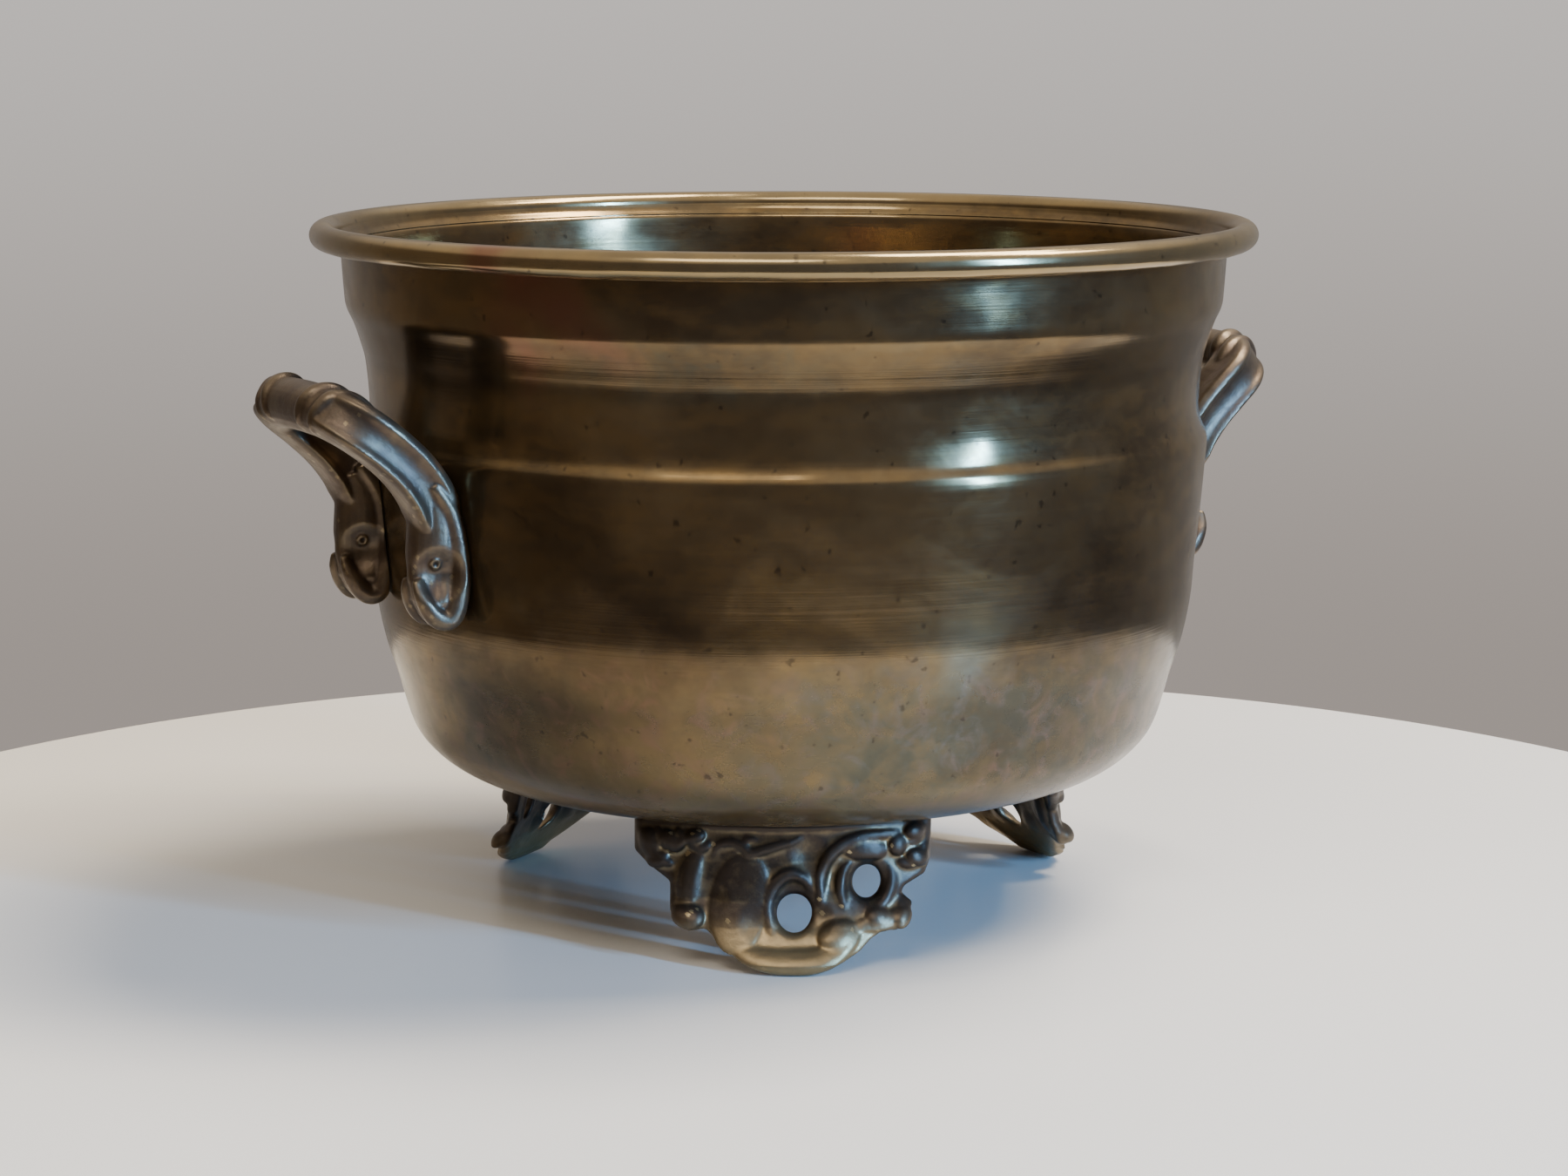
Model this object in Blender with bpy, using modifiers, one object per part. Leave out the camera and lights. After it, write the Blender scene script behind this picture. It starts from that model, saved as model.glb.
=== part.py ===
"""Brass planter pot: a spun sheet bowl with a wired rim, two cast scroll handles and three cast feet.

Metres, +Z up. The origin is on the floor under the middle of the bowl, the handles lie on +X and -X,
and the first foot lies under the +X handle. Every piece is its own object. The handles and feet are
held by slotted screws whose heads and washers sit inside the bowl.
"""

import math

import bmesh
import bpy
from mathutils import Matrix, Vector

# Overall sizes
POT_HEIGHT = 0.1749
RIM_RADIUS = 0.1192
FOOT_HEIGHT = 0.0346

# Sheet metal and fits
SHEET = 0.0010
WIRE_RADIUS = 0.00195
GAP = 0.0003
ROUND_STEPS = 48
ROLL_STEPS = 10
BORE_STEPS = 16
DOME_STEPS = 4
ROLL_FREE_EDGE = math.radians(-130)

# Bowl wall, outer side: inset from the rim's outer edge, and height as a share of the bowl's height
WALL = (
    (0.0077, 0.943),
    (0.0083, 0.880),
    (0.0088, 0.851),
    (0.0106, 0.822),
    (0.0122, 0.787),
    (0.0134, 0.751),
    (0.0142, 0.680),
    (0.0133, 0.644),
    (0.0119, 0.616),
    (0.0121, 0.588),
    (0.0130, 0.509),
    (0.0145, 0.395),
    (0.0153, 0.324),
    (0.0173, 0.252),
    (0.0201, 0.190),
    (0.0237, 0.104),
    (0.0276, 0.062),
    (0.0334, 0.029),
    (0.0404, 0.008),
    (0.0472, 0.000),
)

# Flare from the neck up into the roll: shares of the way, and the step that finds the wall's lean
FLARE_STEPS = (0.35, 0.70)
LEAN_STEP = 0.0010

# Feet
FOOT_COUNT = 3
FOOT_WIDTH = 0.0730
FOOT_PLATE_TOP_INSET = 0.0487
FOOT_PLATE = 0.0040
TOE_REACH = 0.0120
TOE_DEPTH = 0.0045
FOOT_TAB = 0.0032
FOOT_TAB_REACH = 0.0155
FOOT_TAB_WIDTH = 0.0580
SCROLL_HOLE_RADIUS = 0.0042
LEAF_HOLE_RADIUS = 0.0037

# Foot outline seen from outside: share of the half width, share of the height
FOOT_OUTLINE = (
    (-1.00, 1.00), (-1.00, 0.73), (-0.90, 0.65), (-0.75, 0.54), (-0.75, 0.37), (-0.70, 0.26),
    (-0.63, 0.23), (-0.52, 0.26), (-0.41, 0.17), (-0.29, 0.09), (-0.14, 0.00), (0.20, 0.00),
    (0.38, 0.06), (0.50, 0.12), (0.57, 0.19), (0.66, 0.24), (0.75, 0.22), (0.82, 0.29),
    (0.87, 0.40), (0.78, 0.47), (0.80, 0.52), (0.94, 0.58), (0.98, 0.68), (0.98, 1.00),
)
SCROLL_HOLE = (0.07, 0.37)
LEAF_HOLE = (0.55, 0.55)

# Foot plate section: share of the height, share of the toe's reach
PLATE_LEAN = ((1.00, 0.00), (0.72, 0.09), (0.46, 0.26), (0.29, 0.52), (0.14, 0.83), (0.07, 1.00))

# Handles
HANDLE_BELOW_RIM = 0.0764
HANDLE_SPREAD = 0.0215
ARM_SPREAD = 0.0230
GRIP_RADIUS = 0.0065
ARM_RADIUS = 0.0062
GRIP_STAND_OFF = 0.0260
GRIP_RISE = 0.0371
VOLUTE_HEIGHT = 0.0310
VOLUTE_STAND_OFF = 0.0082
VOLUTE_ROOT = 0.0060
VOLUTE_WIDTH = 0.0140
VOLUTE_ROUNDING = 0.0015
RECESS_RADIUS = 0.0028
RECESS_DEPTH = 0.0018

# Arm, volute to grip: shares of the stand-off, of the spread and of the rise
ARM_BEND = (
    (0.07, 0.93, 0.18), (0.19, 0.96, 0.38), (0.38, 1.00, 0.55), (0.63, 1.00, 0.71),
    (0.85, 0.93, 0.86), (0.96, 0.72, 0.97), (1.00, 0.43, 1.00),
)

# Fixings
SHANK_RADIUS = 0.0020
HEAD_RADIUS = 0.0039
HEAD_HEIGHT = 0.0024
SLOT_WIDTH = 0.0010
SLOT_DEPTH = 0.0009
WASHER_RADIUS = 0.0048
WASHER = 0.0010
HANDLE_SCREW_BITE = 0.0060
FOOT_SCREW_SPREAD = 0.0170
FOOT_SCREW_INSET = 0.0572
FOOT_SCREW_SPARE = 0.0020
HOLE_HEADROOM = 0.0020
SLOT_TWIST = math.radians(37)
SCREW_STEPS = 12

# Worked out from the sizes above
BOWL_HEIGHT = POT_HEIGHT - FOOT_HEIGHT
FOOT_TOP = FOOT_HEIGHT - GAP
FLOOR_TOP = FOOT_HEIGHT + SHEET
ROLL_BORE = WIRE_RADIUS + GAP
ROLL_RADIUS = ROLL_BORE + SHEET
ROLL_R = RIM_RADIUS - ROLL_RADIUS
ROLL_Z = POT_HEIGHT - ROLL_RADIUS
HANDLE_Z = POT_HEIGHT - HANDLE_BELOW_RIM
FACET = math.cos(math.pi / ROUND_STEPS)
PLATE_RADIUS = RIM_RADIUS - FOOT_PLATE_TOP_INSET


def clear_scene():
    for item in list(bpy.data.objects):
        bpy.data.objects.remove(item, do_unlink=True)


def new_collection(name):
    collection = bpy.data.collections.new(name)
    bpy.context.scene.collection.children.link(collection)
    return collection


def metal(name, color, roughness):
    material = bpy.data.materials.new(name)
    material.use_nodes = True
    shader = material.node_tree.nodes["Principled BSDF"]
    shader.inputs["Base Color"].default_value = (*color, 1.0)
    shader.inputs["Roughness"].default_value = roughness
    shader.inputs["Metallic"].default_value = 1.0
    return material


def add_object(name, data, collection, matrix=None):
    item = bpy.data.objects.new(name, data)
    collection.objects.link(item)
    if matrix is not None:
        item.matrix_world = matrix
    return item


def add_guide(name, data, collection, matrix=None):
    guide = add_object(name, data, collection, matrix)
    guide.hide_render = True
    guide.display_type = "WIRE"
    return guide


def cut_or_join(item, other, operation):
    modifier = item.modifiers.new(f"{operation.lower()} {other.name}", "BOOLEAN")
    modifier.operation = operation
    modifier.object = other
    modifier.solver = "EXACT"


def smooth(mesh, angle=math.radians(35)):
    mesh.shade_smooth()
    mesh.set_sharp_from_angle(angle=angle)


def profile_mesh(name, points, closed):
    """An edge chain in the XZ plane, ready for a Screw modifier."""
    edges = [(i, i + 1) for i in range(len(points) - 1)]
    if closed:
        edges.append((len(points) - 1, 0))
    mesh = bpy.data.meshes.new(name)
    mesh.from_pydata([(r, 0.0, z) for r, z in points], edges, [])
    return mesh


def turn_profile(item, steps):
    modifier = item.modifiers.new("turn", "SCREW")
    modifier.steps = steps
    modifier.render_steps = steps
    modifier.use_merge_vertices = True
    modifier.merge_threshold = 0.00001
    modifier.use_smooth_shade = True


def mesh_from_curve(curve):
    """The closed mesh of a curve, with its caps welded."""
    source = bpy.data.objects.new(curve.name, curve)
    bpy.context.scene.collection.objects.link(source)
    evaluated = source.evaluated_get(bpy.context.evaluated_depsgraph_get())
    mesh = bpy.data.meshes.new_from_object(evaluated)
    form = bmesh.new()
    form.from_mesh(mesh)
    bmesh.ops.remove_doubles(form, verts=form.verts, dist=0.00001)
    bmesh.ops.recalc_face_normals(form, faces=form.faces)
    form.to_mesh(mesh)
    form.free()
    bpy.data.objects.remove(source, do_unlink=True)
    return mesh


def flat_outline(name, points, thickness, rounding=0.0):
    """A flat shape in the XY plane, its thickness centred on the plane."""
    curve = bpy.data.curves.new(name, "CURVE")
    curve.dimensions = "2D"
    curve.fill_mode = "BOTH"
    curve.extrude = thickness / 2 - rounding
    curve.bevel_depth = rounding
    curve.bevel_resolution = 0
    curve.offset = -rounding
    spline = curve.splines.new("POLY")
    spline.points.add(len(points) - 1)
    for point, (x, y) in zip(spline.points, points):
        point.co = (x, y, 0.0, 1.0)
    spline.use_cyclic_u = True
    return mesh_from_curve(curve)


def pegs(name, places, sides=SCREW_STEPS):
    """One mesh of separate round pegs, each given as (matrix, radius, length) about its own middle."""
    form = bmesh.new()
    for matrix, radius, length in places:
        bmesh.ops.create_cone(form, cap_ends=True, segments=sides, radius1=radius, radius2=radius,
                              depth=length, matrix=matrix)
    mesh = bpy.data.meshes.new(name)
    form.to_mesh(mesh)
    form.free()
    return mesh


def wall_point(share):
    return RIM_RADIUS - wall_inset(share), FOOT_HEIGHT + share * BOWL_HEIGHT


def wall_inset(share):
    for (inset_above, above), (inset_below, below) in zip(WALL, WALL[1:]):
        if below <= share <= above:
            part = (share - below) / (above - below)
            return inset_below + part * (inset_above - inset_below)
    return WALL[0][0]


def wall_radius(height):
    return RIM_RADIUS - wall_inset((height - FOOT_HEIGHT) / BOWL_HEIGHT)


def wall_lean(height):
    return (wall_radius(height + LEAN_STEP) - wall_radius(height - LEAN_STEP)) / (2 * LEAN_STEP)


def washer_lift(height):
    """How far the hollow of the wall holds a flat washer off the sheet at this height."""
    along = WASHER_RADIUS ** 2 / (2 * wall_radius(height))
    lean = wall_lean(height)
    upright = max(wall_radius(height) + lean * step - wall_radius(height + step)
                  for step in (-WASHER_RADIUS, 0.0, WASHER_RADIUS))
    return along + upright + GAP


def bowl_profile():
    """Outer side of the sheet: from the roll's free edge, round the wire, then down to the middle."""
    points = []
    for step in range(ROLL_STEPS + 1):
        angle = ROLL_FREE_EDGE + (math.pi - ROLL_FREE_EDGE) * step / ROLL_STEPS
        points.append((ROLL_R + ROLL_BORE * math.cos(angle), ROLL_Z + ROLL_BORE * math.sin(angle)))
    roll_end = points[-1]
    neck = wall_point(WALL[0][1])
    for part in FLARE_STEPS:
        ease = part * part * (3 - 2 * part)
        points.append((roll_end[0] + (neck[0] - roll_end[0]) * ease,
                       roll_end[1] + (neck[1] - roll_end[1]) * part))
    points.extend(wall_point(share) for _, share in WALL)
    points.append((0.0, FOOT_HEIGHT))
    return points


def wall_seat(turn, height):
    """A frame on the inside of the wall: its +Z points into the bowl, square to the sheet."""
    outward = Vector((1.0, 0.0, -wall_lean(height))).normalized()
    face = Vector((wall_radius(height) * FACET, 0.0, height)) - outward * SHEET
    inward = outward.to_track_quat("-Z", "Y").to_matrix().to_4x4()
    return Matrix.Rotation(turn, 4, "Z") @ Matrix.Translation(face) @ inward


def handle_screw_seats():
    swing = math.asin(HANDLE_SPREAD / wall_radius(HANDLE_Z))
    lift = Matrix.Translation((0.0, 0.0, washer_lift(HANDLE_Z)))
    turns = (swing, -swing, math.pi + swing, math.pi - swing)
    return [wall_seat(turn, HANDLE_Z) @ lift for turn in turns]


def foot_turns():
    return [2 * math.pi * index / FOOT_COUNT for index in range(FOOT_COUNT)]


def foot_screw_seats():
    seats = []
    for turn in foot_turns():
        for side in (1, -1):
            place = Vector((RIM_RADIUS - FOOT_SCREW_INSET, side * FOOT_SCREW_SPREAD, FLOOR_TOP + GAP))
            seats.append(Matrix.Rotation(turn, 4, "Z") @ Matrix.Translation(place))
    return seats


def handle_shank_length():
    return HANDLE_SCREW_BITE + SHEET + WASHER + 3 * GAP


def foot_shank_length():
    return FOOT_TAB + SHEET + WASHER + 4 * GAP


def screw_hole_cutter(helpers):
    """Every screw hole as one cutter, used by the bowl, the handles and the feet alike."""
    places = []
    radius = SHANK_RADIUS + GAP
    for seats, shank, spare in ((handle_screw_seats(), handle_shank_length(), GAP),
                                (foot_screw_seats(), foot_shank_length(), FOOT_SCREW_SPARE)):
        depth = shank - WASHER - GAP + spare
        middle = Matrix.Translation((0.0, 0.0, (HOLE_HEADROOM - depth) / 2))
        places.extend((seat @ middle, radius, HOLE_HEADROOM + depth) for seat in seats)
    return add_guide("screw_holes", pegs("screw_holes", places), helpers)


def make_bowl(parts, screw_holes, brass):
    bowl = add_object("bowl", profile_mesh("bowl", bowl_profile(), closed=False), parts)
    turn_profile(bowl, ROUND_STEPS)
    shell = bowl.modifiers.new("sheet", "SOLIDIFY")
    shell.thickness = SHEET
    shell.offset = -1.0
    shell.use_even_offset = True
    cut_or_join(bowl, screw_holes, "DIFFERENCE")
    bowl.data.materials.append(brass)


def make_rim_wire(parts, iron):
    bpy.ops.mesh.primitive_torus_add(major_segments=ROUND_STEPS, minor_segments=ROLL_STEPS,
                                     major_radius=ROLL_R, minor_radius=WIRE_RADIUS,
                                     location=(0.0, 0.0, ROLL_Z))
    wire = bpy.context.object
    wire.name = "rim_wire"
    for collection in list(wire.users_collection):
        collection.objects.unlink(wire)
    parts.objects.link(wire)
    smooth(wire.data)
    wire.data.materials.append(iron)


def plate_section():
    """Closed section of the foot's curved plate: outer face down to the sole, then up the back."""
    front = [(PLATE_RADIUS + TOE_REACH * reach, FOOT_TOP * share) for share, reach in PLATE_LEAN]
    toe = PLATE_RADIUS + TOE_REACH
    back = []
    for share, reach in reversed(PLATE_LEAN[:-1]):
        depth = FOOT_PLATE + (TOE_DEPTH - FOOT_PLATE) * reach ** 2
        back.append((PLATE_RADIUS + TOE_REACH * reach - depth, FOOT_TOP * share))
    return front + [(toe, 0.0), (toe - TOE_DEPTH, 0.0)] + back


def foot_tab_outline():
    root = PLATE_RADIUS - FOOT_PLATE / 2
    tip = root - FOOT_TAB_REACH
    half = FOOT_TAB_WIDTH / 2
    corner = FOOT_TAB_REACH / 3
    bow = PLATE_RADIUS - math.sqrt(PLATE_RADIUS ** 2 - half ** 2)
    return [(root, 0.0), (root - bow, half), (tip + corner, half - corner / 3), (tip, half - corner),
            (tip, corner - half), (tip + corner, corner / 3 - half), (root - bow, -half)]


def make_foot(index, turn, parts, helpers, screw_holes, brass):
    """A leaning curved plate cut to the scroll outline, with a tab that bolts under the bowl."""
    name = f"foot_{index}"
    place = Matrix.Rotation(turn, 4, "Z")
    foot = add_object(name, profile_mesh(name, plate_section(), closed=True), parts, place)
    turn_profile(foot, ROUND_STEPS)

    half = FOOT_WIDTH / 2
    outline = [(half * across, FOOT_TOP * up) for across, up in FOOT_OUTLINE]
    upright = Matrix(((0, 0, 1, PLATE_RADIUS), (1, 0, 0, 0), (0, 1, 0, 0), (0, 0, 0, 1)))
    shape = flat_outline(f"{name}_outline", outline, 2 * (PLATE_RADIUS - FOOT_TAB_REACH))
    cut_or_join(foot, add_guide(f"{name}_outline", shape, helpers, place @ upright), "INTERSECT")

    tab = flat_outline(f"{name}_tab", foot_tab_outline(), FOOT_TAB)
    lift = Matrix.Translation((0.0, 0.0, FOOT_TOP - FOOT_TAB / 2))
    cut_or_join(foot, add_guide(f"{name}_tab", tab, helpers, place @ lift), "UNION")

    holes = []
    for (across, up), radius in ((SCROLL_HOLE, SCROLL_HOLE_RADIUS), (LEAF_HOLE, LEAF_HOLE_RADIUS)):
        swing = Matrix.Rotation(math.asin(half * across / PLATE_RADIUS), 4, "Z")
        level = Matrix.Translation((PLATE_RADIUS, 0.0, FOOT_TOP * up))
        holes.append((swing @ level @ Matrix.Rotation(math.pi / 2, 4, "Y"), radius, 4 * TOE_REACH))
    pierced = pegs(f"{name}_pierced", holes, sides=BORE_STEPS)
    cut_or_join(foot, add_guide(f"{name}_pierced", pierced, helpers, place), "DIFFERENCE")
    cut_or_join(foot, screw_holes, "DIFFERENCE")
    foot.data.materials.append(brass)


def handle_path():
    """Centre line and half thickness of one handle, from one volute up, across and down."""
    wall = wall_radius(HANDLE_Z)
    side = []
    for out, across, up in ARM_BEND:
        radius = ARM_RADIUS + (GRIP_RADIUS - ARM_RADIUS) * up
        side.append((wall + out * GRIP_STAND_OFF, across * ARM_SPREAD, HANDLE_Z + up * GRIP_RISE, radius))
    far_side = [(out, -across, up, radius) for out, across, up, radius in reversed(side)]
    return side + far_side


def handle_loop(name):
    curve = bpy.data.curves.new(name, "CURVE")
    curve.dimensions = "3D"
    curve.bevel_depth = 1.0
    curve.bevel_resolution = 2
    curve.use_fill_caps = True
    path = handle_path()
    spline = curve.splines.new("POLY")
    spline.points.add(len(path) - 1)
    for point, (out, across, up, radius) in zip(spline.points, path):
        point.co = (out, across, up, 1.0)
        point.radius = radius
    return mesh_from_curve(curve)


def volute_outline(steps=18):
    """An upright oval from inside the wall out to the volute's front."""
    wall = wall_radius(HANDLE_Z)
    half = (VOLUTE_STAND_OFF + VOLUTE_ROOT) / 2
    middle = wall + VOLUTE_STAND_OFF - half
    turns = [2 * math.pi * step / steps for step in range(steps)]
    return [(middle + half * math.cos(a), VOLUTE_HEIGHT / 2 * math.sin(a)) for a in turns]


def volute_pair(name):
    """Both scroll ends of one handle as one mesh of two separate ovals, standing along the pot."""
    form = bmesh.new()
    oval = flat_outline(f"{name}_oval", volute_outline(), VOLUTE_WIDTH, VOLUTE_ROUNDING)
    for side in (1, -1):
        stand = Matrix(((1, 0, 0, 0), (0, 0, -1, side * HANDLE_SPREAD), (0, 1, 0, HANDLE_Z), (0, 0, 0, 1)))
        count = len(form.verts)
        form.from_mesh(oval)
        form.verts.ensure_lookup_table()
        bmesh.ops.transform(form, matrix=stand, verts=form.verts[count:])
    mesh = bpy.data.meshes.new(name)
    form.to_mesh(mesh)
    form.free()
    return mesh


def volute_recesses():
    wall = wall_radius(HANDLE_Z)
    lie = Matrix.Rotation(math.pi / 2, 4, "X")
    places = []
    for side in (1, -1):
        for face in (1, -1):
            across = side * HANDLE_SPREAD + face * VOLUTE_WIDTH / 2
            spot = Matrix.Translation((wall + VOLUTE_STAND_OFF / 2, across, HANDLE_Z))
            places.append((spot @ lie, RECESS_RADIUS, 2 * RECESS_DEPTH))
    return places


def make_handle(index, turn, parts, helpers, screw_holes, bowl_form, brass):
    name = f"handle_{index}"
    place = Matrix.Rotation(turn, 4, "Z")
    handle = add_object(name, handle_loop(name), parts, place)
    volutes = add_guide(f"{name}_volutes", volute_pair(f"{name}_volutes"), helpers, place)
    cut_or_join(handle, volutes, "UNION")
    recesses = pegs(f"{name}_recesses", volute_recesses(), sides=BORE_STEPS)
    cut_or_join(handle, add_guide(f"{name}_recesses", recesses, helpers, place), "DIFFERENCE")
    cut_or_join(handle, bowl_form, "DIFFERENCE")
    cut_or_join(handle, screw_holes, "DIFFERENCE")
    handle.data.materials.append(brass)


def make_bowl_form(helpers):
    """The solid outer form of the bowl, a gap larger, which shapes the backs of the handles."""
    wall = [(RIM_RADIUS - inset + GAP, FOOT_HEIGHT + share * BOWL_HEIGHT) for inset, share in WALL]
    top = wall[0][1]
    points = [(0.0, top)] + wall + [(0.0, FOOT_HEIGHT)]
    form = add_guide("bowl_form", profile_mesh("bowl_form", points, closed=False), helpers)
    turn_profile(form, ROUND_STEPS)
    return form


def screw_profile(shank_length):
    """Domed head above its seat, shank below it; the seat is at height zero."""
    dome = [(0.0, HEAD_HEIGHT)]
    for step in range(1, DOME_STEPS):
        angle = math.pi / 2 * (1 - step / DOME_STEPS)
        dome.append((HEAD_RADIUS * math.cos(angle), HEAD_HEIGHT * math.sin(angle)))
    tip = SHANK_RADIUS / 4
    return dome + [(HEAD_RADIUS, 0.0), (SHANK_RADIUS, 0.0), (SHANK_RADIUS, tip - shank_length),
                   (SHANK_RADIUS - tip, -shank_length), (0.0, -shank_length)]


def make_fixings(kind, seats, shank_length, parts, helpers, brass):
    """A washer on each seat, and a slotted screw through it."""
    bore = SHANK_RADIUS + GAP
    ring = [(WASHER_RADIUS, WASHER), (WASHER_RADIUS, 0.0), (bore, 0.0), (bore, WASHER)]
    slots = bmesh.new()
    head_lift = Matrix.Translation((0.0, 0.0, WASHER + GAP))
    cutter = add_guide(f"{kind}_slots", bpy.data.meshes.new(f"{kind}_slots"), helpers)
    for number, seat in enumerate(seats, start=1):
        washer = add_object(f"{kind}_washer_{number}", profile_mesh("washer", ring, closed=True), parts, seat)
        turn_profile(washer, SCREW_STEPS)
        washer.data.materials.append(brass)
        profile = profile_mesh("screw", screw_profile(shank_length), closed=False)
        screw = add_object(f"{kind}_screw_{number}", profile, parts, seat @ head_lift)
        turn_profile(screw, SCREW_STEPS)
        cut_or_join(screw, cutter, "DIFFERENCE")
        screw.data.materials.append(brass)
        twist = Matrix.Rotation(SLOT_TWIST * number, 4, "Z")
        size = Matrix.Diagonal((3 * HEAD_RADIUS, SLOT_WIDTH, 2 * SLOT_DEPTH, 1.0))
        top = Matrix.Translation((0.0, 0.0, HEAD_HEIGHT))
        bmesh.ops.create_cube(slots, size=1.0, matrix=seat @ head_lift @ top @ twist @ size)
    slots.to_mesh(cutter.data)
    slots.free()


def main():
    clear_scene()
    parts = new_collection("brass_planter_pot")
    helpers = new_collection("cutters_and_guides")
    sheet_brass = metal("aged_sheet_brass", (0.36, 0.27, 0.17), 0.28)
    cast_brass = metal("aged_cast_brass", (0.30, 0.23, 0.15), 0.35)
    screw_brass = metal("dull_screw_brass", (0.40, 0.31, 0.18), 0.45)
    iron = metal("iron_wire", (0.20, 0.19, 0.18), 0.60)

    screw_holes = screw_hole_cutter(helpers)
    bowl_form = make_bowl_form(helpers)
    make_bowl(parts, screw_holes, sheet_brass)
    make_rim_wire(parts, iron)
    for index, turn in enumerate((0.0, math.pi), start=1):
        make_handle(index, turn, parts, helpers, screw_holes, bowl_form, cast_brass)
    for index, turn in enumerate(foot_turns(), start=1):
        make_foot(index, turn, parts, helpers, screw_holes, cast_brass)
    make_fixings("handle", handle_screw_seats(), handle_shank_length(), parts, helpers, screw_brass)
    make_fixings("foot", foot_screw_seats(), foot_shank_length(), parts, helpers, screw_brass)


main()
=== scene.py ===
"""Looks for a brass planter pot: spun bowl with a wired rim, cast scroll handles and cast leaf feet.

Modelled in millimetres and scaled to metres as each piece is finished, +Z up, floor at zero.
"""

import math

import bmesh
import bpy
from bpy.props import FloatProperty, FloatVectorProperty, IntProperty, PointerProperty
from mathutils import Matrix, Vector, noise


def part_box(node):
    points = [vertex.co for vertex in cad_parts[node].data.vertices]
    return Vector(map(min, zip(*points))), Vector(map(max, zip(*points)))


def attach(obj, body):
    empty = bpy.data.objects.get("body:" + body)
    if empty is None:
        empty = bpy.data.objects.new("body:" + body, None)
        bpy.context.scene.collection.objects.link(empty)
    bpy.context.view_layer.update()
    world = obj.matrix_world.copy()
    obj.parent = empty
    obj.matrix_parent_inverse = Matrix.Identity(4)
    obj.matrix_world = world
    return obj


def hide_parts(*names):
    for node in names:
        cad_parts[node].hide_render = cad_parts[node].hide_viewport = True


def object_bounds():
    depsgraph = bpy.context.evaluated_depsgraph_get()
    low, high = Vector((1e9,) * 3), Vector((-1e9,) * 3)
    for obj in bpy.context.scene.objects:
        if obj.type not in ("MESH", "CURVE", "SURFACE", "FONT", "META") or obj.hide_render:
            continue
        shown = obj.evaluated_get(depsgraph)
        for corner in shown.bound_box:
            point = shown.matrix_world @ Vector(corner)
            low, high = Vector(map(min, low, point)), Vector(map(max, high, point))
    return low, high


bl_info = {
    "name": "Brass planter pot",
    "version": (1, 0, 0),
    "blender": (4, 5, 0),
    "location": "3D View > Sidebar > Planter",
    "description": "Builds a footed brass planter pot around its frame",
    "category": "Object",
}

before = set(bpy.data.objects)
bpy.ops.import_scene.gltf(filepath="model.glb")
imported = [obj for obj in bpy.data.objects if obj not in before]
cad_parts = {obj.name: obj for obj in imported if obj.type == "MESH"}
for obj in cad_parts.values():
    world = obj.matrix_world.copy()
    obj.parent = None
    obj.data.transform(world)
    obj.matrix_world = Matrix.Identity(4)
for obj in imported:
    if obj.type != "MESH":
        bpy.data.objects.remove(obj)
FRAME_LOW, FRAME_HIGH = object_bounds()
MM = 0.001

# Sizes taken from the frame, in millimetres
POT_HEIGHT = FRAME_HIGH.z / MM
RIM_RADIUS = FRAME_HIGH.y / MM
FOOT_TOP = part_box("foot_1")[1].z / MM

# Bowl
SHEET = 1.0
WIRE_CLEARANCE = 2.25
GAP = 0.3
WALL = (
    (111.5, 166.9), (110.9, 158.1), (110.4, 154.0), (108.6, 149.9), (107.0, 145.0), (105.8, 140.0),
    (105.0, 130.0), (105.7, 125.2), (107.1, 121.8), (107.3, 119.6), (107.0, 116.0), (106.2, 106.0),
    (104.7, 90.0), (103.9, 80.1), (101.9, 70.0), (99.1, 61.3), (95.5, 49.2), (91.6, 43.3),
    (85.8, 38.7), (78.8, 35.7), (72.0, 34.6), (60.0, 34.6), (40.0, 34.6), (20.0, 34.6), (0.0, 34.6),
)
WALL_BY_HEIGHT = [(height, radius) for radius, height in WALL]
ROLL_FREE_EDGE = -130.0
ROLL_STEPS = 26
FLARE = ((0.35, 0.28), (0.70, 0.78))
ROLL_FOLD = 212.0
ROLL_FOLD_WIDTH = 9.0
ROLL_FREE_POINTS = 12.0
FLAT_MIDDLE = 60.0

# Handle: arm path (out, along, up), side by side with its mirror image
ARM_PATH = (
    (107.4, 21.6, 104.0), (108.4, 22.0, 109.2), (110.8, 22.4, 115.0), (115.2, 22.7, 121.0),
    (120.8, 22.6, 126.3), (126.0, 21.6, 130.4), (129.4, 18.2, 133.0), (130.9, 12.0, 134.4),
    (131.2, 4.0, 134.8),
)
ARM_SECTION = (
    (6.4, -4.4), (5.3, -2.4), (4.9, 0.0), (5.2, 2.2), (6.2, 4.0), (4.8, 6.0), (2.6, 6.0), (0.0, 5.8),
    (-2.6, 6.0), (-4.8, 6.0), (-6.2, 4.0), (-5.2, 2.2), (-4.9, 0.0), (-5.3, -2.4), (-6.4, -4.4),
    (-4.4, -5.5), (0.0, -5.8), (4.4, -5.5),
)
GRIP_RADIUS = 6.1
BAR_ABOVE = 124.0
BAR_ROUND_FROM = 21.5
BAR_ROUND_OVER = 9.0
ARM_ROUND_BELOW = 112.0
ARM_ROUND_OVER = 6.0
RIB_PLACES = (18.4, 12.6)
RIB_STEPS = 10
RIB_START = -40
RIB_SWING = 260
RIB_DRIFT = 7.0
RIB_OFFSET = 5.2
RIB_RADIUS = 2.3
SCROLL_PLACE = 21.5
SCROLL_SECTIONS = (
    # up, middle out, half depth, half width
    (116.0, 110.8, 5.0, 5.6), (112.0, 108.8, 5.8, 6.4), (107.0, 108.0, 6.5, 6.8), (101.0, 108.0, 6.9, 6.9),
    (95.0, 108.1, 6.8, 6.8), (90.0, 108.0, 5.9, 6.3), (86.4, 107.7, 4.2, 5.2), (83.6, 107.4, 2.1, 3.4),
    (82.6, 107.2, 0.9, 1.6),
)
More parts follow.
